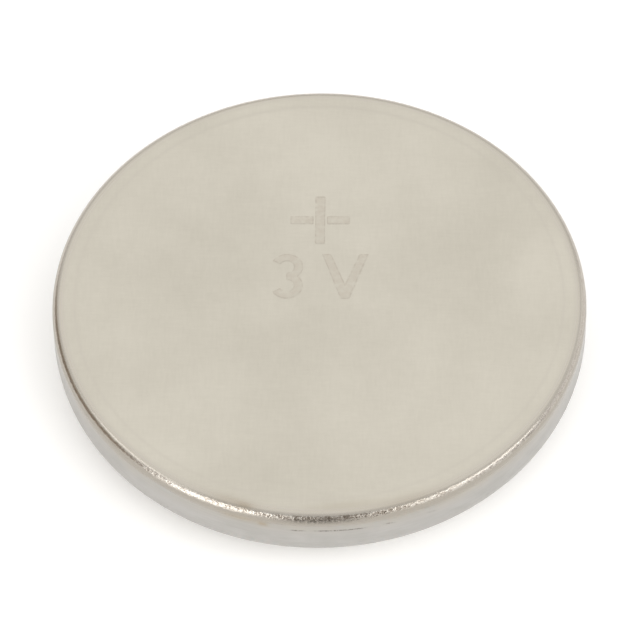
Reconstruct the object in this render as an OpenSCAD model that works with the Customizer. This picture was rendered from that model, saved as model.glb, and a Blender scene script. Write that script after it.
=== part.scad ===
// Lithium coin cell, lying on its negative cap.
// The origin is the centre of the negative terminal's face, and +Z runs up the cell's axis
// to the positive face. Every piece but the marks and the collector's windows is turned
// about that axis, so a section is drawn in the r-z plane, with r along X.

/* [Cell] */
// Diameter over the can's wall
cell_d = 20; // [12:0.1:24.5]
// Height from the negative terminal to the positive face
cell_h = 3.2; // [2.6:0.1:5]

/* [Positive can] */
// Thickness of the can's sheet
can_t = 0.2; // [0.15:0.01:0.3]
// Inside radius of the bend between the face and the wall
can_bend_r = 0.15; // [0.05:0.01:0.25]
// Outside radius of the crimp that closes the wall in over the gasket
crimp_r = 1.3; // [1:0.05:1.5]
// Height of the crimp's lowest point over the negative terminal
crimp_z = 0.4; // [0.25:0.05:0.5]
// Gap between the cap's boss and the crimped rim, where the gasket shows
mouth_w = 0.55; // [0.4:0.05:0.7]
// Width of the margin round the positive face, outside its raised middle
margin_w = 0.85; // [0.5:0.05:2]
// Height of the middle of the positive face over its margin
margin_step = 0.02; // [0.01:0.01:0.05]

/* [Negative cap] */
// Thickness of the cap's sheet
cap_t = 0.2; // [0.15:0.01:0.3]
// Inside radius of the bend round the terminal
terminal_bend_r = 0.2; // [0.1:0.05:0.4]
// Height of the shoulder over the terminal
shoulder_z = 1; // [0.9:0.05:1.3]
// Width of the shoulder between the boss and the skirt
shoulder_w = 1.1; // [0.9:0.05:1.5]
// Inside radius of the bend between the shoulder and the skirt
shoulder_bend_r = 0.1; // [0.05:0.05:0.2]
// Radius of the hollow between the boss and the shoulder
hollow_r = 0.1; // [0.05:0.05:0.2]

/* [Sealing gasket] */
// Thickness of the gasket's wall between the can and the skirt
gasket_t = 0.4; // [0.3:0.05:0.6]
// Thickness of the foot between the skirt's edge and the can's face
foot_t = 0.4; // [0.3:0.05:0.6]
// Thickness of the lip inside the skirt
lip_t = 0.3; // [0.2:0.05:0.5]
// Height of the lip inside the skirt, below the foot
lip_h = 0.5; // [0.2:0.05:0.6]
// Clearance all round between the gasket and the metal
seal_gap = 0.01; // [0.005:0.005:0.02]
// Gap between the boss and the gasket's visible bead
bead_gap = 0.15; // [0.1:0.05:0.2]

/* [Inner stack] */
// Thickness of the lithium disc
lithium_t = 0.6; // [0.2:0.05:0.8]
// Clearance round the lithium disc, inside the cap's boss
lithium_gap = 0.5; // [0.3:0.05:1]
// Thickness of the separator
separator_t = 0.15; // [0.05:0.01:0.2]
// Clearance round the separator, inside the cap's boss
separator_gap = 0.1; // [0.05:0.05:0.3]
// Clearance round the cathode pellet, inside the cap's boss
pellet_gap = 0.3; // [0.15:0.05:1]
// Rounding of the pellet's edges
pellet_edge_r = 0.1; // [0.05:0.01:0.2]
// Thickness of the collector's sheet
collector_t = 0.1; // [0.05:0.01:0.2]
// Distance of the collector's edge inside the pellet's
collector_inset = 0.2; // [0:0.05:1]
// Spacing of the collector's windows
grid_pitch = 1.7; // [1.2:0.1:3]
// Width of the sheet left between two windows
grid_bar = 0.4; // [0.2:0.05:0.8]
// Width of the plain band round the windows
grid_band = 0.6; // [0.3:0.05:1.5]

/* [Marks on the positive face] */
// Depth of the marks
mark_depth = 0.02; // [0.01:0.01:0.05]
// Length of each bar of the plus sign
plus_span = 2.2; // [1:0.1:4]
// Width of the plus sign's bars
plus_bar = 0.34; // [0.2:0.02:0.6]
// Gap that parts the level bar of the plus sign from the upright one
plus_gap = 0.1; // [0.05:0.01:0.2]
// Distance of the plus sign from the face's centre
plus_y = 3.65; // [2:0.05:6]
// Height of the rating's characters
rating_h = 2.05; // [1:0.05:3]
// Width of the rating's strokes
rating_stroke = 0.3; // [0.15:0.01:0.4]
// Width of the letter in the rating
rating_letter_w = 1.7; // [1:0.05:2.5]
// Gap between the rating's two characters
rating_space = 0.75; // [0.3:0.05:1.5]
// Distance of the rating's centre line from the face's centre
rating_y = 1; // [-3:0.05:1.5]

/* [Hidden] */

$fn = 96;
// Length that a cut runs past the surface it opens
over = 1;

cell_r = cell_d / 2;
can_corner_r = can_bend_r + can_t;
margin_z = cell_h - margin_step;
can_floor_z = margin_z - can_t;
crimp_centre_z = crimp_z + crimp_r;

skirt_r = cell_r - can_t - gasket_t;
skirt_end_z = can_floor_z - foot_t;
boss_r = skirt_r - shoulder_w;
boss_in_r = boss_r - cap_t;
mouth_r = boss_r + mouth_w;

bead_in_r = boss_r + bead_gap;
bead_r = (mouth_r - seal_gap - bead_in_r) / 2;
lip_out_r = skirt_r - cap_t - seal_gap;
lip_in_r = lip_out_r - lip_t;

lithium_z = cap_t;
separator_z = lithium_z + lithium_t;
pellet_z = separator_z + separator_t;
collector_z = can_floor_z - collector_t;
pellet_r = boss_in_r - pellet_gap;
collector_r = pellet_r - collector_inset;

// Section of a round block of radius r, with its lower and upper edges rounded
module block_section(r, z_low, z_high, low_r, high_r) {
    translate([0, z_low + low_r])
        square([r, z_high - z_low - low_r - high_r]);
    translate([0, z_low])
        square([r - low_r, z_high - z_low - high_r]);
    translate([r - low_r, z_low + low_r])
        circle(low_r);
    if (high_r > 0) {
        translate([0, z_high - high_r])
            square([r - high_r, high_r]);
        translate([r - high_r, z_high - high_r])
            circle(high_r);
    }
}

// Section of the closed can as if it were solid, with its surface moved out by grow
module can_section(grow) {
    block_section(cell_r + grow, crimp_z - grow, margin_z + grow, crimp_r + grow, can_corner_r + grow);
}

// Section of the cap as if it were solid up to z_top, with its surface moved out by grow
module cap_section(grow, z_top) {
    fillet = hollow_r - grow;
    block_section(boss_r + grow, -grow, z_top, terminal_bend_r + cap_t + grow, 0);
    block_section(skirt_r + grow, shoulder_z - grow, z_top, shoulder_bend_r + cap_t + grow, 0);
    translate([boss_r + grow, shoulder_z - grow])
        difference() {
            translate([0, -fillet])
                square(fillet);
            translate([fillet, -fillet])
                circle(fillet);
        }
}

// One bowl of the numeral: the stretch of a ring between two angles
module bowl(from, to) {
    out_r = (rating_h + rating_stroke) / 4;
    quarter = (to - from) / 4;
    rays = [for (i = [0 : 4]) 2 * out_r * [cos(from + i * quarter), sin(from + i * quarter)]];
    intersection() {
        difference() {
            circle(out_r);
            circle(out_r - rating_stroke);
        }
        polygon(concat([[0, 0]], rays));
    }
}

// Two bowls whose strokes overlap at the waist, each open on the left beyond end_angle
module numeral_three() {
    bowl_y = (rating_h - rating_stroke) / 4;
    end_angle = 150;
    translate([0, bowl_y])
        bowl(-90, end_angle);
    translate([0, -bowl_y])
        bowl(-end_angle, 90);
}

module letter_v() {
    polygon([
        [-rating_letter_w / 2, rating_h / 2],
        [-rating_letter_w / 2 + rating_stroke, rating_h / 2],
        [0, -rating_h / 2 + 2 * rating_stroke],
        [rating_letter_w / 2 - rating_stroke, rating_h / 2],
        [rating_letter_w / 2, rating_h / 2],
        [rating_stroke / 2, -rating_h / 2],
        [-rating_stroke / 2, -rating_h / 2]
    ]);
}

// Rating of 3 volts, with the two characters centred together on the face
module rating() {
    numeral_w = (rating_h + rating_stroke) / 2;
    total_w = numeral_w + rating_space + rating_letter_w;
    translate([(numeral_w - total_w) / 2, 0])
        numeral_three();
    translate([(total_w - rating_letter_w) / 2, 0])
        letter_v();
}

// Plus sign whose level bar is parted from the upright one by a narrow gap on each side
module plus_sign() {
    arm = (plus_span - plus_bar) / 2 - plus_gap;
    square([plus_bar, plus_span], center = true);
    for (side = [-1, 1])
        translate([side * (plus_span - arm) / 2, 0])
            square([arm, plus_bar], center = true);
}

module marks() {
    translate([0, 0, cell_h - mark_depth])
        linear_extrude(mark_depth + over) {
            translate([0, plus_y])
                plus_sign();
            translate([0, rating_y])
                rating();
        }
}

// A drawn cup whose mouth is crimped in, with the middle of its face raised by a shallow step
module positive_can() {
    color("silver")
        difference() {
            rotate_extrude() {
                difference() {
                    can_section(0);
                    can_section(-can_t);
                    translate([0, -over])
                        square([mouth_r, crimp_centre_z + over]);
                }
                translate([0, can_floor_z])
                    square([cell_r - margin_w, can_t + margin_step]);
            }
            marks();
        }
}

// A channel round the skirt: wall, foot and inner lip, with the upper edge of the wall
// turned in between the cap's shoulder and the crimp, and bulging out of the mouth as a bead
module sealing_gasket() {
    color("dimgray")
        rotate_extrude() {
            difference() {
                intersection() {
                    can_section(-can_t - seal_gap);
                    translate([bead_in_r, 0])
                        square([cell_r, skirt_end_z + seal_gap]);
                }
                cap_section(seal_gap, skirt_end_z + seal_gap);
            }
            intersection() {
                can_section(-can_t - seal_gap);
                translate([lip_in_r, skirt_end_z + seal_gap])
                    square([cell_r, foot_t]);
            }
            translate([lip_in_r, skirt_end_z - lip_h])
                square([lip_t, lip_h + foot_t / 2]);
            translate([bead_in_r + bead_r, crimp_z + can_t + seal_gap])
                circle(bead_r);
        }
}

module negative_cap() {
    color("lightgray")
        rotate_extrude()
            difference() {
                cap_section(0, skirt_end_z);
                cap_section(-cap_t, skirt_end_z + over);
            }
}

module lithium_anode() {
    color("gainsboro")
        translate([0, 0, lithium_z])
            cylinder(h = lithium_t, r = boss_in_r - lithium_gap);
}

module separator() {
    color("white")
        translate([0, 0, separator_z])
            cylinder(h = separator_t, r = boss_in_r - separator_gap);
}

module cathode_pellet() {
    color([0.16, 0.16, 0.17])
        rotate_extrude()
            block_section(pellet_r, pellet_z, collector_z, pellet_edge_r, pellet_edge_r);
}

// Thin disc pierced by a square grid of windows, as far as each window clears the plain band
module cathode_collector() {
    window = grid_pitch - grid_bar;
    reach = collector_r - grid_band;
    steps = floor(reach / grid_pitch);
    color("darkgray")
        translate([0, 0, collector_z])
            difference() {
                cylinder(h = collector_t, r = collector_r);
                for (i = [-steps : steps], j = [-steps : steps]) {
                    corner = [abs(i) * grid_pitch + window / 2, abs(j) * grid_pitch + window / 2];
                    if (norm(corner) < reach)
                        translate([i * grid_pitch, j * grid_pitch, collector_t / 2])
                            cube([window, window, collector_t + over], center = true);
                }
            }
}

positive_can();
sealing_gasket();
negative_cap();
lithium_anode();
separator();
cathode_pellet();
cathode_collector();
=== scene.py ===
from math import cos, pi, radians, sin

import bpy
import numpy as np
from mathutils import Matrix, Vector


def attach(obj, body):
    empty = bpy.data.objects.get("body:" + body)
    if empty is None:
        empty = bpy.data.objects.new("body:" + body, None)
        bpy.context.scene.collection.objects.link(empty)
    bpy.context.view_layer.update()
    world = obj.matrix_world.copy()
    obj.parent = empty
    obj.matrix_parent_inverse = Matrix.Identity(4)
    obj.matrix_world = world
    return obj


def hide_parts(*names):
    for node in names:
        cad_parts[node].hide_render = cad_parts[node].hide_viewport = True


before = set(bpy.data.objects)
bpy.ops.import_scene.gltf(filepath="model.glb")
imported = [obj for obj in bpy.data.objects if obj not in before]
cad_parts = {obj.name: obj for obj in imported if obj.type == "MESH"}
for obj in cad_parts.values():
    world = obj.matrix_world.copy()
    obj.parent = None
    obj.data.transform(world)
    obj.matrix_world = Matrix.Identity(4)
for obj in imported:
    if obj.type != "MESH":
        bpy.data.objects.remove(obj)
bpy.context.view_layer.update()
print("frame loaded:", ", ".join(sorted(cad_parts)))

# The pieces' dictionaries are in millimetres, and the frame is in metres
mm = 0.001
hair = 1e-6  # two profile points closer than this are one, in millimetres
sharpAngle = 35  # degrees between two faces, from which their edge is shaded sharp


def toLinear(hexColour):
    # An sRGB hex colour as the linear values that the shaders take
    srgb = np.array([int(hexColour[i:i + 2], 16) for i in (1, 3, 5)]) / 255
    linear = np.where(srgb <= 0.04045, srgb / 12.92, ((srgb + 0.055) / 1.055) ** 2.4)
    return (*linear.tolist(), 1.0)


def ease(value, low, high):
    # 0 below low, 1 above high, and an S-shaped cubic between them
    t = np.clip((value - low) / (high - low), 0, 1)
    return t * t * (3 - 2 * t)


def line(start, end, count):
    # Points (r, z) on a straight line, by a cosine closer together near its ends, so that the
    # shading of a flat stays flat
    t = ((1 - np.cos(np.linspace(0, pi, count))) / 2)[:, None]
    return np.array(start) * (1 - t) + np.array(end) * t


def arc(centre, radius, start, end, count):
    # Points (r, z) on a circle round the centre, between two angles in degrees from the r axis
    angle = np.radians(np.linspace(start, end, count))
    return np.array(centre) + radius * np.stack([np.cos(angle), np.sin(angle)], axis=1)


def joined(parts):
    # One profile from several stretches, with the points that two stretches share kept once
    profile = np.concatenate(parts)
    apart = np.linalg.norm(np.diff(profile, axis=0), axis=1) > hair
    return profile[np.concatenate([[True], apart])]


def turned(profile, columns, shiftY=0.0):
    # A profile (r, z) carried round the z axis: x = r sin a, y = shift + r cos a, z = z
    a = np.linspace(0, 2 * pi, columns, endpoint=False)
    r = profile[:, :1]
    x = r * np.sin(a)
    y = np.reshape(shiftY, (-1, 1)) + r * np.cos(a)
    z = np.repeat(profile[:, 1:], columns, axis=1)
    return x, y, z


def makePiece(name, x, y, z, looped):
    # Quads between neighbouring rings, joined round the seam. A looped profile joins its last
    # ring to its first. Any other starts and ends on the axis, where its end rings are one point
    # each, numbers 0 and 1, and a fan of triangles round that point closes it.
    columns = x.shape[1]
    points = np.stack([x, y, z], axis=2) * mm
    if looped:
        ring = np.arange(x.size).reshape(x.shape)
        ring = np.concatenate([ring, ring[:1]])
        verts = points.reshape(-1, 3)
        fans = np.empty((0, 3), int)
    else:
        ring = np.arange(x.size).reshape(x.shape)[1:-1] - columns + 2
        verts = np.concatenate([points[:1, 0], points[-1:, 0], points[1:-1].reshape(-1, 3)])
        first, last = ring[0], ring[-1]
        fans = np.concatenate([
            np.stack([np.zeros_like(first), first, np.roll(first, -1)], axis=1),
            np.stack([np.ones_like(last), np.roll(last, -1), last], axis=1),
        ])
    after = np.roll(ring, -1, axis=1)
    quads = np.stack([ring[:-1], ring[1:], after[1:], after[:-1]], axis=2).reshape(-1, 4)
    # Twice the area inside the profile: the sum of r z' - r' z over its points. It is negative
    # when the profile runs clockwise, and then the faces are turned round to point outwards.
    r, height = x[:, columns // 4], z[:, 0]
    if np.sum(r * np.roll(height, -1) - np.roll(r, -1) * height) < 0:
        quads, fans = quads[:, ::-1], fans[:, ::-1]
    mesh = bpy.data.meshes.new(name)
    mesh.from_pydata(verts.tolist(), [], quads.tolist() + fans.tolist())
    mesh.shade_smooth()
    mesh.set_sharp_from_angle(angle=radians(sharpAngle))
    piece = bpy.data.objects.new(name, mesh)
    bpy.context.scene.collection.objects.link(piece)
    print(f"{name}: {len(mesh.vertices)} points, {len(mesh.polygons)} faces")
    return piece


def storeValues(piece, name, values):
    # Values on the rings of a piece that isn't looped become a point attribute for its material,
    # in the order of its points: the two ends on the axis first, then ring after ring
    kind, slot = ("FLOAT", "value") if values.ndim == 2 else ("FLOAT_VECTOR", "vector")
    between = values[1:-1].reshape(-1, *values.shape[2:])
    ordered = np.concatenate([values[:1, 0], values[-1:, 0], between])
    attribute = piece.data.attributes.new(name, kind, "POINT")
    attribute.data.foreach_set(slot, ordered.astype(np.float32).ravel())


def addNode(tree, kind, inputs=None, output=None, **settings):
    # A node of this kind with its settings, and with each input set to a value or linked from
    # an output. It hands back the named output, or the first one in use.
    node = tree.nodes.new("ShaderNode" + kind)
    for key, value in settings.items():
        setattr(node, key, value)
    for key, value in (inputs or {}).items():
        if isinstance(value, bpy.types.NodeSocket):
            tree.links.new(value, node.inputs[key])
        else:
            node.inputs[key].default_value = value
    if output:
        return node.outputs[output]
    return next((socket for socket in node.outputs if socket.enabled), None)


def startMaterial(name):
    # A new material with an empty node tree
    material = bpy.data.materials.new(name)
    material.use_nodes = True
    material.node_tree.nodes.clear()
    return material, material.node_tree


def perMetre(sizeMm):
    # The texture scale at which one feature is this many millimetres across
    return 1 / (sizeMm * mm)


def dress(pieceObject, material):
    # The material becomes the object's only one
    pieceObject.data.materials.clear()
    pieceObject.data.materials.append(material)


# Positive can: a drawn cup, lying mouth down, with its mouth crimped in
canShape = {
    "faceZ": 3.2,  # the raised middle of the face
    "marginZ": 3.18,  # the margin round it
    "stepR": 9.15,  # the step between the two
    "stepWidth": 0.36,
    "wallR": 10.0,
    "wallThickness": 0.2,
    "cornerR": 0.35,
    "crimpR": 1.3,
    "crimpZ": 0.4,
    "mouthR": 8.85,
    "columns": 400,
    # The face's rings stand close together round the middle of the marks, as far as markReach,
    # and have moved to the cell's axis at centredR
    "markCentreY": 2.3,
    "markReach": 3.0,
    "markRings": 62,
    "centredR": 8.8,
    # The wall's rings stand close together where the rub marks are
    "rubbedTopZ": 2.55,
    "rubbedFootZ": 2.2,
    "rubbedRings": 14,
}

marksShape = {
    "depth": 0.015,
    "softness": 0.04,  # half the width of their sloping sides
    "plusY": 3.65,
    "plusSpan": 2.2,
    "plusBar": 0.34,
    "plusGap": 0.1,
    "ratingY": 1.0,
    "ratingHeight": 2.05,
    "ratingStroke": 0.3,
    "letterWidth": 1.7,
    "characterGap": 0.75,
    "openAngle": 150,  # degrees at which the numeral's bowls end
}

# Where the can's material changes. The bend's zones fade in over the first two distances, which
# count along the profile from the bend's start, and out over the last two, from its end.
canZones = {
    # The bend's zone also tints it darker, as painted dark reflection
    "bend": (0.15, 0.28, -0.12, 0.06),
    # Painted shade on the bend's lower part
    "bendFootShade": (0.3, 0.42, 0.0, 0.25),
    "wall": (-0.1, 0.9),  # fades in, from the bend's end
    # The margin's zone also darkens the face towards its rim, as painted shade
    "margin": (0.28, 0.2),  # fades in, from the step outwards and from the wall inwards
    # Painted shade: a darker line in the step
    "stepShade": 0.3,  # the margin's tint in the step, and its width
    "stepShadeWidth": 0.07,
    "leastPeel": 0.22,  # the bend's peel at the sides, as a share of that at the front
    "crimpEnd": 0.02,  # height over the crimp's lowest point where the outside ends
}

canWearAndDarkReflection = {
    # Lines on the wall: how far round from the front, the height, the length and the lean
    "rubs": [
        {"along": -0.7, "z": 2.39, "length": 0.5, "lean": 0.02, "strength": 1.0},
        {"along": 0.85, "z": 2.39, "length": 2.0, "lean": -0.02, "strength": 1.0},
        {"along": 2.68, "z": 2.39, "length": 0.35, "lean": -0.05, "strength": 1.0},
        {"along": 4.35, "z": 2.32, "length": 0.35, "lean": -0.06, "strength": 0.35},
        {"along": 4.6, "z": 2.66, "length": 1.3, "lean": -0.02, "strength": 0.3},
    ],
    "rubEnds": (0.3, 0.55),  # shares of its length over which a line fades out
    "rubSides": (0.012, 0.045),  # distances from its middle over which it fades out
    # Soft spots: their middle, and how far they reach along the rim and across it
    "stains": [
        {"x": -3.06, "y": -9.21, "z": 3.2, "long": 0.9, "wide": 0.2, "strength": 0.3},
        {"x": -2.6, "y": -9.42, "z": 3.2, "long": 0.3, "wide": 0.13, "strength": 0.4},
        {"x": -2.75, "y": -9.61, "z": 2.66, "long": 0.8, "wide": 0.16, "strength": 0.35},
        {"x": -1.96, "y": -9.81, "z": 2.57, "long": 0.17, "wide": 0.13, "strength": 0.65},
        {"x": 1.2, "y": -9.4, "z": 3.2, "long": 1.4, "wide": 0.2, "strength": 0.2},
        {"x": 3.4, "y": -9.1, "z": 3.2, "long": 1.2, "wide": 0.3, "strength": 0.2},
    ],
    # Painted dark reflection: a dark soft spot at the front of the bend, in the rubs' tone
    "frontDarkReflection": [
        {"x": 0.15, "y": -9.96, "z": 2.98, "long": 1.35, "wide": 0.12, "strength": 1.0},
    ],
}


def boxDistance(x, y, width, height):
    # Distance to a rectangle round the origin: what lies past each side, joined by Pythagoras,
    # and negative inside
    overX = np.abs(x) - width / 2
    overY = np.abs(y) - height / 2
    outside = np.hypot(np.maximum(overX, 0), np.maximum(overY, 0))
    return outside + np.minimum(np.maximum(overX, overY), 0)


def bowlDistance(x, y, middle, m):
    # Distance to a bowl of the numeral: the larger of the distance to its ring and the arc
    # length past its ends, which lie the same angle from the middle on either side
    outer = (m["ratingHeight"] + m["ratingStroke"]) / 4
    radius = np.hypot(x, y)
    ring = np.abs(radius - outer + m["ratingStroke"] / 2) - m["ratingStroke"] / 2
    turn = np.degrees(np.arctan2(y, x)) - middle
    turn = np.abs((turn + 180) % 360 - 180)
    halfKept = (90 + m["openAngle"]) / 2
    return np.maximum(ring, np.radians(turn - halfKept) * radius)


def letterDistance(x, y, m):
    # Distance to the letter V: outside its outer slanted lines, inside its inner ones, or past
    # its ends. The distance to a line is the cross product with its run, over the run's length.
    half, height, stroke = m["letterWidth"] / 2, m["ratingHeight"], m["ratingStroke"]
    outerRun = np.array([half - stroke / 2, height])
    innerRun = np.array([half - stroke, height - 2 * stroke])
    outer = (np.abs(x) - half) * outerRun[1] - (y - height / 2) * outerRun[0]
    inner = (np.abs(x) - half + stroke) * innerRun[1] - (y - height / 2) * innerRun[0]
    sides = np.maximum(outer / np.hypot(*outerRun), -inner / np.hypot(*innerRun))
    return np.maximum(sides, np.abs(y) - height / 2)


def marksMask(x, y):
    # 1 inside the marks, 0 outside: the distance to the nearest mark, eased over its soft edge
    m = marksShape
    arm = (m["plusSpan"] - m["plusBar"]) / 2 - m["plusGap"]
    armMiddle = (m["plusSpan"] - arm) / 2
    upright = boxDistance(x, y - m["plusY"], m["plusBar"], m["plusSpan"])
    level = boxDistance(np.abs(x) - armMiddle, y - m["plusY"], arm, m["plusBar"])
    numeralWidth = (m["ratingHeight"] + m["ratingStroke"]) / 2
    total = numeralWidth + m["characterGap"] + m["letterWidth"]
    numeralX = x - (numeralWidth - total) / 2
    bowlY = (m["ratingHeight"] - m["ratingStroke"]) / 4
    middle = (m["openAngle"] - 90) / 2
    upper = bowlDistance(numeralX, y - m["ratingY"] - bowlY, middle, m)
    lower = bowlDistance(numeralX, y - m["ratingY"] + bowlY, -middle, m)
    letter = letterDistance(x - (total - m["letterWidth"]) / 2, y - m["ratingY"], m)
    nearest = np.minimum.reduce([upright, level, upper, lower, letter])
    return 1 - ease(nearest, -m["softness"], m["softness"])


def rubMask(along, z):
    # The sum of the rub marks: each is a thin slanted line that fades towards its ends and sides
    total = np.zeros_like(z)
    for rub in canWearAndDarkReflection["rubs"]:
        place = (along - rub["along"]) / rub["length"]
        offset = z - rub["z"] - rub["lean"] * place
        ends = 1 - ease(np.abs(place), *canWearAndDarkReflection["rubEnds"])
        sides = 1 - ease(np.abs(offset), *canWearAndDarkReflection["rubSides"])
        total += rub["strength"] * ends * sides
    return np.minimum(total, 1)


def spotMask(spots, x, y, z):
    # The sum of soft spots: each falls off as a bell with the distance along the rim, which is
    # the cross product with its middle over its radius, and with the distance across the rim
    total = np.zeros_like(z)
    for spot in spots:
        radius = np.hypot(spot["x"], spot["y"])
        alongRim = (x * spot["y"] - y * spot["x"]) / radius
        inward = (x * spot["x"] + y * spot["y"]) / radius - radius
        acrossRim = np.hypot(inward, z - spot["z"])
        bell = np.exp(-(alongRim / spot["long"]) ** 2 - (acrossRim / spot["wide"]) ** 2)
        total += spot["strength"] * bell
    return np.minimum(total, 1)


def canProfile(c):
    # From the middle of the face out over the corner, down the wall, round the crimp, and back
    # inside. The face is level here, and its step and marks are pressed into it afterwards.
    outR, inR = c["wallR"], c["wallR"] - c["wallThickness"]
    inCorner = c["cornerR"] - c["wallThickness"]
    inCrimp = c["crimpR"] - c["wallThickness"]
    corner = (outR - c["cornerR"], c["marginZ"] - c["cornerR"])
    crimp = (outR - c["crimpR"], c["crimpZ"] + c["crimpR"])
    # Angles below the level at which the crimp's two arcs reach the mouth
    mouthOut = np.degrees(np.arccos((c["mouthR"] - crimp[0]) / c["crimpR"]))
    mouthIn = np.degrees(np.arccos((c["mouthR"] - crimp[0]) / inCrimp))
    ceilingZ = c["marginZ"] - c["wallThickness"]
    top, foot = c["rubbedTopZ"], c["rubbedFootZ"]
    stepStart, stepEnd = c["stepR"] - c["stepWidth"] / 2, c["stepR"] + c["stepWidth"] / 2
    faceR = np.concatenate([
        np.linspace(0, c["markReach"], c["markRings"]),
        np.linspace(c["markReach"], stepStart, num=25),
        np.linspace(stepStart, stepEnd, num=13),
        np.linspace(stepEnd, corner[0], num=5),
    ])
    rubbedZ = np.linspace(top, foot, c["rubbedRings"])
    return joined([
        np.stack([faceR, np.full_like(faceR, c["marginZ"])], axis=1),
        arc(corner, c["cornerR"], 90, 0, count=21),
        line((outR, corner[1]), (outR, top), count=5),
        np.stack([np.full_like(rubbedZ, outR), rubbedZ], axis=1),
        line((outR, foot), (outR, crimp[1]), count=5),
        arc(crimp, c["crimpR"], 0, -mouthOut, count=19),
        arc(crimp, inCrimp, -mouthIn, 0, count=12),
        line((inR, crimp[1]), (inR, corner[1]), count=4),
        arc(corner, inCorner, 0, 90, count=6),
        line((corner[0], ceilingZ), (0, ceilingZ), count=8),
    ])


def canMasks(profile, x, y, z, onFace):
    # What the material reads at each point. Distance along the profile tells the bend from the
    # face and the wall, and the angle round the axis how much the bend has peeled.
    c, zones = canShape, canZones
    steps = np.linalg.norm(np.diff(profile, axis=0), axis=1)
    across = np.concatenate([[0], np.cumsum(steps)])
    bendStart = across[~onFace][0]
    bendEnd = bendStart + c["cornerR"] * pi / 2
    outside = np.cumprod(profile[:, 1] > c["crimpZ"] + zones["crimpEnd"]).astype(bool)
    onBend = {}
    for name in ("bend", "bendFootShade"):
        start, full, fading, gone = zones[name]
        rise = ease(across, bendStart + start, bendStart + full)
        fall = 1 - ease(across, bendEnd + fading, bendEnd + gone)
        onBend[name] = np.where(outside, rise * fall, 0)[:, None]
    wall = ease(across, bendEnd + zones["wall"][0], bendEnd + zones["wall"][1])
    a = np.linspace(0, 2 * pi, c["columns"], endpoint=False)
    # The bend's peel, as bump and as painted strands, is strongest at the front and the back
    frontAndBackPeel = zones["leastPeel"] + (1 - zones["leastPeel"]) * np.cos(a) ** 4
    # The margin's painted shade darkens its last few tenths, and a trace of it lies in the step
    axisR = np.hypot(x, y)
    margin = ease(axisR, c["stepR"] + zones["margin"][0], c["wallR"] - zones["margin"][1])
    stepPlace = (axisR - c["stepR"]) / zones["stepShadeWidth"]
    rubs = rubMask(np.arctan2(x, -y) * c["wallR"], z) * (outside & (across > bendEnd))[:, None]
    # The rub marks, and a painted dark reflection at the front of the bend
    frontDarkReflection = spotMask(canWearAndDarkReflection["frontDarkReflection"], x, y, z) * outside[:, None]
    around = np.ones_like(x)
    # The drawn coordinates run round the cell and along the profile, as the metal was drawn
    roundX, roundY = c["wallR"] * np.sin(a) * around, c["wallR"] * np.cos(a) * around
    return {
        "margin": margin + zones["stepShade"] * np.exp(-stepPlace ** 2),
        "bend": onBend["bend"] * around,
        "peeled": onBend["bend"] * frontAndBackPeel * around,
        "bendFootShade": onBend["bendFootShade"] * around,
        "wall": wall[:, None] * around,
        "rubbedAndDarkReflection": np.maximum(rubs, frontDarkReflection),
        "stained": spotMask(canWearAndDarkReflection["stains"], x, y, z) * outside[:, None],
        "drawn": np.stack([roundX, roundY, across[:, None] * around], axis=2) * mm,
    }


def makeCan():
    # The profile carried round the axis. The face's height is the margin's, plus the raised
    # middle that ends in the step, less the etched marks.
    c = canShape
    profile = canProfile(c)
    r, height = profile[:, 0], profile[:, 1]
    level = height > c["marginZ"] - hair
    onFace = np.cumprod(level & (r < c["wallR"] - c["cornerR"] - hair)).astype(bool)
    shift = c["markCentreY"] * (1 - ease(r, c["markReach"], c["centredR"]))
    x, y, z = turned(profile, c["columns"], np.where(onFace, shift, 0))
    halfStep = c["stepWidth"] / 2
    middle = 1 - ease(np.hypot(x, y), c["stepR"] - halfStep, c["stepR"] + halfStep)
    etched = marksMask(x, y) * onFace[:, None]
    raised = (c["faceZ"] - c["marginZ"]) * middle - marksShape["depth"] * etched
    z = z + raised * onFace[:, None]
    piece = makePiece("can_shell", x, y, z, looped=False)
    storeValues(piece, "etched", etched)
    for name, values in canMasks(profile, x, y, z, onFace).items():
        storeValues(piece, name, values)
    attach(piece, "root")
    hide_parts("positive_can")
    return piece


# Negative cap: a drawn cap whose boss is the terminal, with a shoulder, and a skirt that is held
# in the gasket
capShape = {
    "bossR": 8.3,
    "skirtR": 9.4,
    "thickness": 0.2,
    "terminalBend": 0.2,
    "hollowR": 0.1,
    "shoulderZ": 1.0,
    "shoulderBend": 0.1,
    "skirtTopZ": 2.58,
    "columns": 360,
}


def capProfile(c):
    # From the middle of the terminal out round the boss, over the shoulder, up the skirt, and
    # back inside
    t = c["thickness"]
    bendOut = c["terminalBend"] + t
    bend = (c["bossR"] - bendOut, bendOut)
    hollow = (c["bossR"] + c["hollowR"], c["shoulderZ"] - c["hollowR"])
    skirtBend = c["shoulderBend"] + t
    shoulder = (c["skirtR"] - skirtBend, c["shoulderZ"] + skirtBend)
    inR = c["skirtR"] - t
    return joined([
        line((0, 0), (bend[0], 0), count=34),
        arc(bend, bendOut, -90, 0, count=13),
        line((c["bossR"], bendOut), (c["bossR"], hollow[1]), count=5),
        arc(hollow, c["hollowR"], 180, 90, count=8),
        line((hollow[0], c["shoulderZ"]), (shoulder[0], c["shoulderZ"]), count=6),
        arc(shoulder, skirtBend, -90, 0, count=9),
        line((c["skirtR"], shoulder[1]), (c["skirtR"], c["skirtTopZ"]), count=6),
        line((inR, c["skirtTopZ"]), (inR, shoulder[1]), count=5),
        arc(shoulder, c["shoulderBend"], 0, -90, count=6),
        arc(hollow, c["hollowR"] + t, 90, 180, count=8),
        arc(bend, c["terminalBend"], 0, -90, count=8),
        line((bend[0], t), (0, t), count=8),
    ])


def makeCap():
    # The profile carried round the axis
    x, y, z = turned(capProfile(capShape), capShape["columns"])
    piece = makePiece("cap_shell", x, y, z, looped=False)
    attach(piece, "root")
    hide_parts("negative_cap")
    return piece


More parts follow.
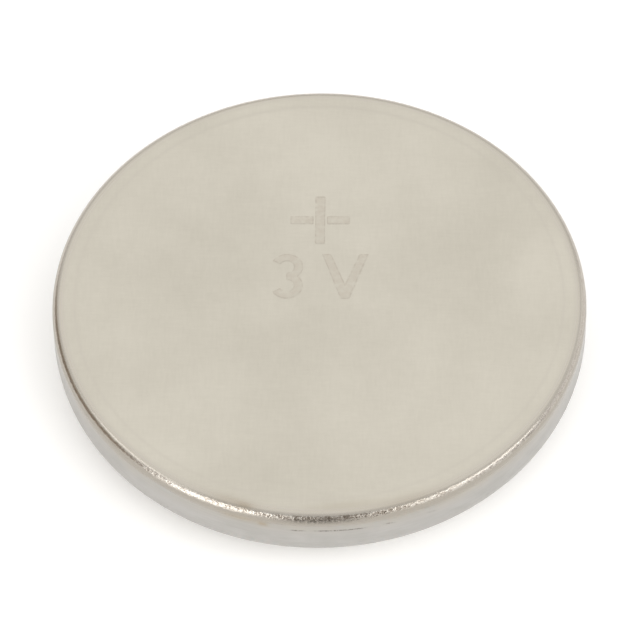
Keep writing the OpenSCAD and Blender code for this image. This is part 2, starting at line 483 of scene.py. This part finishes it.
# Sealing gasket: a moulded channel round the skirt, squeezed out at the mouth as a bead
gasketShape = {
    "outR": 9.79,
    "topZ": 2.97,
    "topBend": 0.14,
    "crimpCentre": (8.7, 1.7),
    "crimpR": 1.09,
    "beadCentre": (8.645, 0.61),
    "beadR": 0.195,
    "beadInR": 8.45,
    "shoulderZ": 0.99,
    "shoulderCentre": (9.1, 1.3),
    "shoulderR": 0.31,
    "skirtR": 9.41,
    "footZ": 2.59,
    "lipOutR": 9.19,
    "lipInR": 8.89,
    "lipZ": 2.08,
    "edgeR": 0.03,
    "columns": 360,
}


def gasketProfile(g):
    # From the foot's top out and down the can's wall, round the crimp and the bead, and back up
    # round the skirt to the lip inside it
    e = g["edgeR"]
    outR, skirtR, innerR = g["outR"], g["skirtR"], g["beadInR"]
    lipOut, lipIn = g["lipOutR"], g["lipInR"]
    top = (outR - g["topBend"], g["topZ"] - g["topBend"])
    shoulderR, shoulderZ = g["shoulderCentre"]
    # Angle below the level at which the crimp's arc meets the bead
    meetR = g["beadCentre"][0] + g["beadR"] - g["crimpCentre"][0]
    meet = np.degrees(np.arccos(meetR / g["crimpR"]))
    return joined([
        arc((lipIn + e, g["topZ"] - e), e, 180, 90, count=4),
        line((lipIn + e, g["topZ"]), (top[0], g["topZ"]), count=5),
        arc(top, g["topBend"], 90, 0, count=4),
        line((outR, top[1]), (outR, g["crimpCentre"][1]), count=5),
        arc(g["crimpCentre"], g["crimpR"], 0, -meet, count=14),
        arc(g["beadCentre"], g["beadR"], 0, -180, count=17),
        line((innerR, g["beadCentre"][1]), (innerR, g["shoulderZ"]), count=4),
        line((innerR + e, g["shoulderZ"]), (shoulderR, g["shoulderZ"]), count=5),
        arc(g["shoulderCentre"], g["shoulderR"], -90, 0, count=8),
        line((skirtR, shoulderZ), (skirtR, g["footZ"]), count=5),
        line((lipOut, g["footZ"]), (lipOut, g["lipZ"] + e), count=4),
        arc((lipOut - e, g["lipZ"] + e), e, 0, -90, count=4),
        arc((lipIn + e, g["lipZ"] + e), e, -90, -180, count=4),
        # The last point is the first one again
        line((lipIn, g["lipZ"] + e), (lipIn, g["topZ"] - e), count=5)[:-1],
    ])


def makeGasket():
    # The closed profile carried round the axis
    x, y, z = turned(gasketProfile(gasketShape), gasketShape["columns"])
    piece = makePiece("gasket_ring", x, y, z, looped=True)
    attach(piece, "root")
    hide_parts("sealing_gasket")
    return piece


can = makeCan()
cap = makeCap()
gasket = makeGasket()

# Colours, roughnesses and pattern sizes of the can's plating
nickelLook = {
    "plate": "#D6D0C2",
    "plateDark": "#CAC4B6",
    # Painted shade: the face darker towards its rim
    "margin": "#C9C2B6",
    # The wall's top: the metal's warm tint, and painted shade that makes it darker than the foot
    "wallTopShade": "#B0AAA0",
    "wallFoot": "#B9B7B4",
    "wallPatch": "#B1AFAB",
    "drawLine": "#6F6C67",
    # Painted dark reflection: the bend's darker tint
    "bend": "#B3ACA3",
    # Painted dark reflection and painted glints: the peel's dark and light strands
    "bendDarkReflection": "#948C82",
    "bendGlint": "#CFCAC1",
    # Painted shade: the bend's lower part darker
    "bendFootShade": "#A49E95",
    "stain": "#A3947C",
    # Dark tone of the rub marks and dust specks, and of a painted dark reflection at the bend's
    # front
    "rub": "#5F5B54",
    "etched": "#CCC4B6",
    "etchedEdge": "#C4BCAE",
    "faceRoughness": 0.28,
    "marginRoughness": 0.22,
    "bendRoughness": 0.2,
    "wallRoughness": 0.4,
    "etchedRoughness": 0.36,
    "cloudRoughness": 0.06,  # how much the clouds add to it
    "cloudMm": 4.6,
    "grainWidthMm": 0.09,
    "grainStretch": 0.18,
    "grainInClouds": 0.22,  # how much the grain's tone counts against the clouds'
    "grainStrength": 0.4,
    "grainHeightMm": 0.002,
    "speckSpacingMm": 2.6,
    "speckMm": 0.045,
    "speckStrength": 0.8,
    "peelMm": 0.1,
    "peelHeightMm": 0.017,
    "peelLevel": 1.15,  # the peel's mean, from which its height is counted
    "strandsInPeel": 1.3,  # how much the strands count against the grains
    "drawLineMm": 0.05,
    "patchMm": 0.6,
    "mottleMm": 0.18,
    "outlineReach": 0.35,  # how far from half way the marks' mask still counts as outline
}


def drawnNickelPlate():
    # Nickel-plated deep-drawn steel. The rolled sheet leaves a soft satin with a faint straight
    # grain, and the plating a warm white, clouded by handling. Drawing stretches the bend into a
    # fine orange peel that breaks its highlights, and leaves faint lines round the wall.
    look = nickelLook
    # Painted dark reflection and painted shade darken the bend, its foot, the wall's top and the
    # rim
    material, tree = startMaterial("nickel plate on drawn steel")
    place = addNode(tree, "TexCoord", output="Object")
    drawn = addNode(tree, "Attribute", output="Vector", attribute_name="drawn")
    mask = {}
    for name in ("etched", "margin", "bend", "peeled", "bendFootShade", "wall", "rubbedAndDarkReflection", "stained"):
        mask[name] = addNode(tree, "Attribute", output="Fac", attribute_name=name)
    # Noise of each kind: what it is mapped on, its size, how far each axis is stretched, its
    # detail and how wavy it is
    long = look["grainStretch"]
    noise = {}
    for name, source, sizeMm, stretch, detail, wave in (
        ("clouds", place, look["cloudMm"], (1, 1, 1), 4.0, 0.0),
        ("grainAcross", place, look["grainWidthMm"], (long, 1, 1), 2.0, 0.0),
        ("grainAlong", place, look["grainWidthMm"], (1, long, 1), 2.0, 0.0),
        ("mottle", place, look["mottleMm"], (1, 1, 1), 2.0, 0.0),
        ("strands", drawn, look["peelMm"], (0.5, 0.5, 1), 3.0, 0.8),
        ("grains", drawn, look["peelMm"] * 0.8, (1, 1, 1), 3.0, 0.5),
        ("drawLines", drawn, look["drawLineMm"], (0.03, 0.03, 1), 2.0, 0.0),
        ("patches", drawn, look["patchMm"], (0.6, 0.6, 1), 4.0, 0.3),
    ):
        mapped = addNode(tree, "Mapping", {"Vector": source, "Scale": stretch})
        noise[name] = addNode(tree, "TexNoise", {
            "Vector": mapped, "Scale": perMetre(sizeMm), "Detail": detail, "Distortion": wave,
        })
    # Grain of the rolled sheet, drawn about eight times as coarse as it is so that it shows
    grain = addNode(tree, "Math", {0: noise["grainAcross"], 1: noise["grainAlong"]},
                    operation="ADD")
    peel = addNode(tree, "Math", {
        0: noise["strands"], 1: look["strandsInPeel"], 2: noise["grains"],
    }, operation="MULTIPLY_ADD")
    clouded = addNode(tree, "Math", {0: grain, 1: look["grainInClouds"], 2: noise["clouds"]},
                      operation="MULTIPLY_ADD")
    # Dust pressed into the plating: the middles of widely spaced cells
    spacing = look["speckSpacingMm"]
    cells = addNode(tree, "TexVoronoi", {"Vector": place, "Scale": perMetre(spacing)})
    speck = addNode(tree, "MapRange", {
        "Value": cells, "From Min": look["speckMm"] / spacing, "From Max": 0,
        "To Max": look["speckStrength"],
    })
    # The marks are unevenly darkened, with a darker outline where their mask is half way
    outline = addNode(tree, "Math", {0: mask["etched"], 1: 0.5, 2: look["outlineReach"]},
                      operation="COMPARE")
    # Where each colour of the list below shows: a value, and the two ends between which it goes
    # from 0 to 1
    where = {}
    for name, value, start, end in (
        ("clouds", clouded, 0.5, 0.94),
        ("wallStart", mask["wall"], 0.0, 0.15),
        ("drawLines", noise["drawLines"], 0.35, 4.0),
        ("patches", noise["patches"], 0.4, 0.7),
        # The peel's painted dark-reflection strands and painted glints
        ("peelDarkReflection", peel, 1.13, 1.02),
        ("peelGlint", peel, 1.14, 1.26),
        ("uneven", noise["mottle"], 0.3, 0.65),
        ("broken", noise["grains"], 0.3, 0.6),
    ):
        where[name] = addNode(tree, "MapRange", {
            "Value": value, "From Min": start, "From Max": end,
        })
    for name, first, second in (
        ("foot", mask["wall"], where["wallStart"]),
        ("drawLines", where["drawLines"], where["wallStart"]),
        ("patches", where["patches"], where["wallStart"]),
        ("peelDarkReflection", where["peelDarkReflection"], mask["peeled"]),
        ("peelGlint", where["peelGlint"], mask["peeled"]),
        ("etched", mask["etched"], where["uneven"]),
        ("outline", outline, where["uneven"]),
        ("rubbedAndDarkReflection", mask["rubbedAndDarkReflection"], where["broken"]),
    ):
        where[name] = addNode(tree, "Math", {0: first, 1: second}, operation="MULTIPLY")
    # The colours lie over each other in this order
    colour = toLinear(look["plateDark"])
    for factor, tone in (
        (where["clouds"], "plate"),
        # Painted shade: the face's rim and the step
        (mask["margin"], "margin"),
        (where["etched"], "etched"),
        (where["outline"], "etchedEdge"),
        # Painted shade at the wall's top
        (where["wallStart"], "wallTopShade"),
        (where["foot"], "wallFoot"),
        (where["patches"], "wallPatch"),
        (where["drawLines"], "drawLine"),
        # Painted dark reflection: the bend tinted darker
        (mask["bend"], "bend"),
        # Painted dark reflection and painted glints in the peel's strands
        (where["peelDarkReflection"], "bendDarkReflection"),
        (where["peelGlint"], "bendGlint"),
        # Painted shade on the bend's lower part
        (mask["bendFootShade"], "bendFootShade"),
        (mask["stained"], "stain"),
        # Rub marks, and a painted dark reflection at the bend's front
        (where["rubbedAndDarkReflection"], "rub"),
        (speck, "rub"),
    ):
        colour = addNode(tree, "Mix", {
            "Factor": factor, "A": colour, "B": toLinear(look[tone]),
        }, data_type="RGBA")
    rough = look["faceRoughness"]
    for part in ("margin", "wall", "bend", "etched"):
        rough = addNode(tree, "Mix", {
            "Factor": mask[part], "A": rough, "B": look[part + "Roughness"],
        })
    rough = addNode(tree, "Math", {0: noise["clouds"], 1: look["cloudRoughness"], 2: rough},
                    operation="MULTIPLY_ADD")
    level = addNode(tree, "Math", {0: peel, 1: look["peelLevel"]}, operation="SUBTRACT")
    bendPeel = addNode(tree, "Math", {0: level, 1: mask["peeled"]}, operation="MULTIPLY")
    fine = addNode(tree, "Bump", {
        "Height": grain, "Strength": look["grainStrength"],
        "Distance": look["grainHeightMm"] * mm,
    })
    bumped = addNode(tree, "Bump", {
        "Height": bendPeel, "Distance": look["peelHeightMm"] * mm, "Normal": fine,
    })
    surface = addNode(tree, "BsdfPrincipled", {
        "Base Color": colour, "Metallic": 1.0, "Roughness": rough, "Normal": bumped,
    })
    addNode(tree, "OutputMaterial", {"Surface": surface})
    return material


# The same for the cap's, which only shows from below
capLook = {
    "plate": "#CFCBC2",
    "plateDark": "#C2BEB5",
    "wipe": "#AEA9A0",
    "roughness": 0.27,
    "cloudRoughness": 0.15,  # how much the clouds add to it
    "cloudMm": 4.0,
    "grainWidthMm": 0.09,
    "grainStretch": 0.06,
    "grainInClouds": 0.5,  # how much the grain's tone counts against the clouds'
    "grainStrength": 0.4,
    "grainHeightMm": 0.003,
    "toothMm": 0.06,
    "toothStrength": 0.5,
    "toothHeightMm": 0.004,
    "wipeWidthMm": 0.12,
    "wipeStretch": 0.05,
    "wipeTurn": 35,
    "wipeR": 5.5,
}


def pressedNickelPlate():
    # Nickel-plated pressed steel of the negative cap. The tool leaves it matt with a fine tooth,
    # and the holder's contact wipes a few short thin scratches near its middle.
    look = capLook
    material, tree = startMaterial("nickel plate on pressed steel")
    place = addNode(tree, "TexCoord", output="Object")
    # Noise of each kind: its size, how far each axis is stretched, its turn and its detail
    noise = {}
    for name, sizeMm, stretch, turn, detail in (
        ("clouds", look["cloudMm"], (1, 1, 1), 0, 6.0),
        ("grain", look["grainWidthMm"], (1, look["grainStretch"], 1), 0, 2.0),
        ("tooth", look["toothMm"], (1, 1, 1), 0, 3.0),
        ("wipes", look["wipeWidthMm"], (look["wipeStretch"], 1, 1), look["wipeTurn"], 0.0),
    ):
        mapped = addNode(tree, "Mapping", {
            "Vector": place, "Scale": stretch, "Rotation": (0, 0, radians(turn)),
        })
        noise[name] = addNode(tree, "TexNoise", {
            "Vector": mapped, "Scale": perMetre(sizeMm), "Detail": detail,
        })
    clouded = addNode(tree, "Math", {
        0: noise["grain"], 1: look["grainInClouds"], 2: noise["clouds"],
    }, operation="MULTIPLY_ADD")
    # The wipes show where their noise is high, and less and less away from the cell's axis
    radius = addNode(tree, "VectorMath", {0: place}, "Value", operation="LENGTH")
    where = {}
    for name, value, start, end in (
        ("clouds", clouded, 0.5, 0.95),
        ("middle", radius, look["wipeR"] * mm, 0),
        ("wipes", noise["wipes"], 0.66, 0.74),
    ):
        where[name] = addNode(tree, "MapRange", {
            "Value": value, "From Min": start, "From Max": end,
        })
    wiped = addNode(tree, "Math", {0: where["middle"], 1: where["wipes"]}, operation="MULTIPLY")
    colour = toLinear(look["plateDark"])
    for factor, tone in ((where["clouds"], "plate"), (wiped, "wipe")):
        colour = addNode(tree, "Mix", {
            "Factor": factor, "A": colour, "B": toLinear(look[tone]),
        }, data_type="RGBA")
    rough = addNode(tree, "Math", {
        0: noise["clouds"], 1: look["cloudRoughness"], 2: look["roughness"],
    }, operation="MULTIPLY_ADD")
    fine = addNode(tree, "Bump", {
        "Height": noise["tooth"], "Strength": look["toothStrength"],
        "Distance": look["toothHeightMm"] * mm,
    })
    bumped = addNode(tree, "Bump", {
        "Height": noise["grain"], "Strength": look["grainStrength"],
        "Distance": look["grainHeightMm"] * mm, "Normal": fine,
    })
    surface = addNode(tree, "BsdfPrincipled", {
        "Base Color": colour, "Metallic": 1.0, "Roughness": rough, "Normal": bumped,
    })
    addNode(tree, "OutputMaterial", {"Surface": surface})
    return material


# The other pieces: a light and a dark tone, how far apart their patches and their grain are,
# how far the grain is stretched along each axis, and its height
plainLooks = {
    "moulded polypropylene": {
        # Moulded plastic: milky grey, with soft flow marks and a slight sheen
        "light": "#C3C1BA", "dark": "#B3B1A9", "metallic": 0.0, "roughness": 0.37, "ior": 1.49,
        "subsurface": 0.25, "patchMm": 1.4,
        "stretch": (1, 1, 0.4), "grainMm": 0.05, "grainHeightMm": 0.003,
    },
    "rolled lithium metal": {
        # Soft rolled metal: silver that has dulled to grey in patches, with the roller's drag in
        # one direction
        "light": "#C4C3C0", "dark": "#8D8C8B", "metallic": 1.0, "roughness": 0.43, "ior": 1.5,
        "subsurface": 0.0, "patchMm": 2.5,
        "stretch": (1, 0.08, 1), "grainMm": 0.1, "grainHeightMm": 0.01,
    },
    "non-woven polypropylene felt": {
        # Matted fibres: white and matt, with a cloudy, hairy surface
        "light": "#F0F0ED", "dark": "#D9D9D4", "metallic": 0.0, "roughness": 0.85, "ior": 1.49,
        "subsurface": 0.1, "patchMm": 0.5,
        "stretch": (1, 0.3, 1), "grainMm": 0.03, "grainHeightMm": 0.02,
    },
    "pressed manganese dioxide powder": {
        # Pressed powder: black and matt, with a crumbly grain and a faint graphite glint
        "light": "#32312F", "dark": "#161514", "metallic": 0.0, "roughness": 0.73, "ior": 1.6,
        "subsurface": 0.0, "patchMm": 0.25,
        "stretch": (1, 1, 1), "grainMm": 0.06, "grainHeightMm": 0.02,
    },
    "pierced stainless steel sheet": {
        # Rolled and pierced sheet: a cooler grey than nickel, with a straight satin grain
        "light": "#B9B9B7", "dark": "#9C9C9A", "metallic": 1.0, "roughness": 0.25, "ior": 1.5,
        "subsurface": 0.0, "patchMm": 1.2,
        "stretch": (1, 0.06, 1), "grainMm": 0.05, "grainHeightMm": 0.004,
    },
}
# What their materials share
plainMix = {
    "grainInPatches": 0.5,  # how much the grain's tone counts against the patches'
    "toneFrom": 0.5,  # the patches' values that give the dark tone and the light one
    "toneTo": 1.0,
    "patchRoughness": 0.1,
    "grainStrength": 0.5,
    "scatterMm": 0.1,  # how far light spreads under the surface
}


def plainMaterial(name):
    # Patches and grain of the two tones, and the grain as bump
    look, mix = plainLooks[name], plainMix
    material, tree = startMaterial(name)
    place = addNode(tree, "TexCoord", output="Object")
    mapped = addNode(tree, "Mapping", {"Vector": place, "Scale": look["stretch"]})
    patches = addNode(tree, "TexNoise", {
        "Vector": place, "Scale": perMetre(look["patchMm"]), "Detail": 5.0,
    })
    grain = addNode(tree, "TexNoise", {
        "Vector": mapped, "Scale": perMetre(look["grainMm"]), "Detail": 3.0,
    })
    both = addNode(tree, "Math", {0: grain, 1: mix["grainInPatches"], 2: patches},
                   operation="MULTIPLY_ADD")
    toneAt = addNode(tree, "MapRange", {
        "Value": both, "From Min": mix["toneFrom"], "From Max": mix["toneTo"],
    })
    colour = addNode(tree, "Mix", {
        "Factor": toneAt, "A": toLinear(look["dark"]), "B": toLinear(look["light"]),
    }, data_type="RGBA")
    rough = addNode(tree, "Math", {0: patches, 1: mix["patchRoughness"], 2: look["roughness"]},
                    operation="MULTIPLY_ADD")
    bumped = addNode(tree, "Bump", {
        "Height": grain, "Strength": mix["grainStrength"],
        "Distance": look["grainHeightMm"] * mm,
    })
    surface = addNode(tree, "BsdfPrincipled", {
        "Base Color": colour, "Metallic": look["metallic"], "Roughness": rough,
        "IOR": look["ior"], "Subsurface Weight": look["subsurface"],
        "Subsurface Scale": mix["scatterMm"] * mm, "Normal": bumped,
    })
    addNode(tree, "OutputMaterial", {"Surface": surface})
    return material


dress(can, drawnNickelPlate())
dress(cap, pressedNickelPlate())
dress(gasket, plainMaterial("moulded polypropylene"))
for node, name in (
    ("lithium_anode", "rolled lithium metal"),
    ("separator", "non-woven polypropylene felt"),
    ("cathode_pellet", "pressed manganese dioxide powder"),
    ("cathode_collector", "pierced stainless steel sheet"),
):
    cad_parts[node].material_slots[0].material = plainMaterial(name)
print("materials:", ", ".join(item.name for item in bpy.data.materials if item.users))

# The camera, fitted to the outline in the photograph: degrees and millimetres
cameraPlace = {
    "azimuth": 1.64,
    "elevation": 53.59,
    "roll": -1.24,
    "distance": 200.0,
    "focalPixels": 5312.6,
    "pictureSide": 640,
    "sensor": 36.0,
    "lookAtZ": 1.6,
    # Where the cell's middle lies in the picture, in pixels from its upper left
    "centreX": 319.63,
    "centreY": 322.92,
    "nearest": 0.001,  # metres, as the next one
    "farthest": 100,
}


def outwardFrom(place):
    # Direction from the cell to a place round it: (sin az cos el, -cos az cos el, sin el)
    azimuth, elevation = radians(place["azimuth"]), radians(place["elevation"])
    return Vector((sin(azimuth) * cos(elevation), -cos(azimuth) * cos(elevation), sin(elevation)))


def addCamera(c):
    # It looks back along its outward direction. Right is level, and up is the two's cross
    # product. The picture's middle lies beside the cell's by the framing's pixels.
    back = outwardFrom(c)
    right = Vector((cos(radians(c["azimuth"])), sin(radians(c["azimuth"])), 0))
    up = back.cross(right)
    perPixel = c["distance"] / c["focalPixels"]
    halfSide = c["pictureSide"] / 2
    target = Vector((0, 0, c["lookAtZ"])) + right * (halfSide - c["centreX"]) * perPixel
    target += up * (c["centreY"] - halfSide) * perPixel
    camera = bpy.data.objects.new("photoCamera", bpy.data.cameras.new("photoCamera"))
    bpy.context.scene.collection.objects.link(camera)
    camera.data.sensor_width = c["sensor"]
    camera.data.lens = c["focalPixels"] / c["pictureSide"] * c["sensor"]
    camera.data.clip_start = c["nearest"]
    camera.data.clip_end = c["farthest"]
    turn = Matrix((right, up, back)).transposed().to_4x4()
    place = Matrix.Translation((target + back * c["distance"]) * mm)
    camera.matrix_world = place @ turn @ Matrix.Rotation(radians(c["roll"]), 4, "Z")
    bpy.context.scene.camera = camera
    print(f"camera: {camera.data.lens:.1f} mm lens, {c['elevation']} degrees up")


addCamera(cameraPlace)

# The studio's lengths are in metres
studio = {
    "distance": 3.0,  # from the cell to the softboxes and cards
    "cardRoughness": 0.9,
    "floorSide": 40.0,
    "floorZ": -0.00002,  # a hair under the terminal's face
    "floorColour": "#F4F3F1",
    "floorRoughness": 0.6,
    "floorSheen": 0.15,
    "floorGlow": 0.22,
    "roomColour": "#E2E2E2",
    "horizonColour": "#FFFFFF",
    "horizon": (0.02, 0.06),  # heights, as sines, between which the horizon's tone ends
}

# A softbox's brightness is what it adds to the room's own
softboxes = {
    "backTop": {"azimuth": 180, "elevation": 64, "width": 3.6, "height": 3.6, "brightness": 0.25},
    "frontLeft": {"azimuth": -38, "elevation": 19, "width": 1.75, "height": 2.2, "brightness": 2.7},
    "leftHigh": {"azimuth": -83, "elevation": 50, "width": 1.6, "height": 0.5, "brightness": 1.3},
    "frontRight": {"azimuth": 58, "elevation": 36, "width": 2.6, "height": 0.6, "brightness": 2.8},
    "lowFront": {"azimuth": 30, "elevation": 14, "width": 1.0, "height": 1.7, "brightness": 0.6},
    "lowRight": {"azimuth": 48, "elevation": 14, "width": 2.7, "height": 1.7, "brightness": 0.34},
    "rightSide": {"azimuth": 110, "elevation": 15, "width": 2.6, "height": 1.5, "brightness": 0.35},
    # This one stands in front of the cards and lights the floor, but doesn't show in the metal
    "floorFill": {"azimuth": 45, "elevation": 45, "width": 2.4, "height": 2.4, "brightness": 1.0,
                  "distance": 2.4, "mirrored": False},
}
darkCards = {
    "cameraSide": {"azimuth": 4, "elevation": 23, "width": 1.7, "height": 3.0, "colour": "#7C7064"},
    "leftSide": {"azimuth": -98, "elevation": 15, "width": 3.6, "height": 1.6, "colour": "#9A8E80"},
}


def standRound(thing, place):
    # Turns a thing's +Z away from the cell and stands it at its distance in its direction
    outward = outwardFrom(place)
    turn = outward.to_track_quat("Z", "Y").to_matrix().to_4x4()
    distance = place.get("distance", studio["distance"])
    thing.matrix_world = Matrix.Translation(outward * distance) @ turn


def addSoftbox(name, box):
    # A flat lamp that shows its brightness has a power of brightness times pi times its area
    light = bpy.data.lights.new(name, "AREA")
    light.shape = "RECTANGLE"
    light.size = box["width"]
    light.size_y = box["height"]
    light.energy = box["brightness"] * pi * box["width"] * box["height"]
    lamp = bpy.data.objects.new(name, light)
    bpy.context.scene.collection.objects.link(lamp)
    lamp.visible_glossy = box.get("mirrored", True)
    standRound(lamp, box)


def addPlane(name, width, height, z=0.0):
    # A level rectangle round the z axis
    x, y = width / 2, height / 2
    mesh = bpy.data.meshes.new(name)
    corners = [(-x, -y, z), (x, -y, z), (x, y, z), (-x, y, z)]
    mesh.from_pydata(corners, [], [(0, 1, 2, 3)])
    plane = bpy.data.objects.new(name, mesh)
    bpy.context.scene.collection.objects.link(plane)
    return plane


def addCard(name, card):
    # Matt paper: one flat tone without a highlight
    plane = addPlane(name, card["width"], card["height"])
    material, tree = startMaterial("matt paper, " + name)
    surface = addNode(tree, "BsdfPrincipled", {
        "Base Color": toLinear(card["colour"]), "Roughness": studio["cardRoughness"],
    })
    addNode(tree, "OutputMaterial", {"Surface": surface})
    dress(plane, material)
    standRound(plane, card)


def addFloor():
    # A table of sanded white acrylic, lit a little from below, which keeps the shadow round the
    # cell light
    floor = addPlane("floor", studio["floorSide"], studio["floorSide"], studio["floorZ"])
    white = toLinear(studio["floorColour"])
    material, tree = startMaterial("sanded white acrylic")
    surface = addNode(tree, "BsdfPrincipled", {
        "Base Color": white, "Roughness": studio["floorRoughness"],
        "Specular IOR Level": studio["floorSheen"], "Emission Color": white,
        "Emission Strength": studio["floorGlow"],
    })
    addNode(tree, "OutputMaterial", {"Surface": surface})
    dress(floor, material)


def addRoom():
    # The room's tone by height. It is palest at the horizon, where the table's far edge meets it.
    world = bpy.data.worlds.new("studioRoom")
    bpy.context.scene.world = world
    world.use_nodes = True
    tree = world.node_tree
    direction = addNode(tree, "TexCoord", output="Generated")
    height = addNode(tree, "SeparateXYZ", {"Vector": direction}, "Z")
    upward = addNode(tree, "MapRange", {
        "Value": height, "From Min": studio["horizon"][0], "From Max": studio["horizon"][1],
    })
    tone = addNode(tree, "Mix", {
        "Factor": upward, "A": toLinear(studio["horizonColour"]),
        "B": toLinear(studio["roomColour"]),
    }, data_type="RGBA")
    tree.links.new(tone, tree.nodes["Background"].inputs["Color"])
    bpy.context.scene.view_settings.view_transform = "Standard"


for name, box in softboxes.items():
    addSoftbox(name, box)
for name, card in darkCards.items():
    addCard(name, card)
addFloor()
addRoom()
print("studio:", len(softboxes), "softboxes,", len(darkCards), "cards, floor and room")
